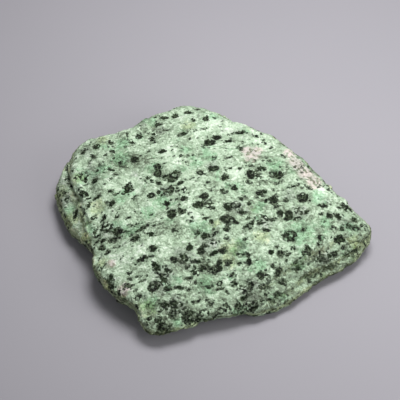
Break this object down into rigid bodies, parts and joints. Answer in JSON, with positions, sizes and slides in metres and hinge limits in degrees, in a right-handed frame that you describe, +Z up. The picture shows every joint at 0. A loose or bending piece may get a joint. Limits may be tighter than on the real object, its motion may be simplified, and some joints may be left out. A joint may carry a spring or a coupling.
{
  "type": "ruby in zoisite specimen",
  "caption": "Flat kite-shaped slab of broken pale green zoisite rock with dark hornblende spots, lying on a small flat spot.",
  "frame": {"origin": "on the ground, under the middle of the stone's outline seen from above", "axes": "+X towards the sharp right corner, along the longest side; +Z up, through the slab's thickness; -Y towards the viewer of the picture"},
  "size_m": [0.112, 0.1, 0.02],
  "materials": {
    "zoisite_rock": "matte"
  },
  "bodies": {
    "root": {"zoisite_stone": "zoisite_rock"}
  },
  "joints": []
}
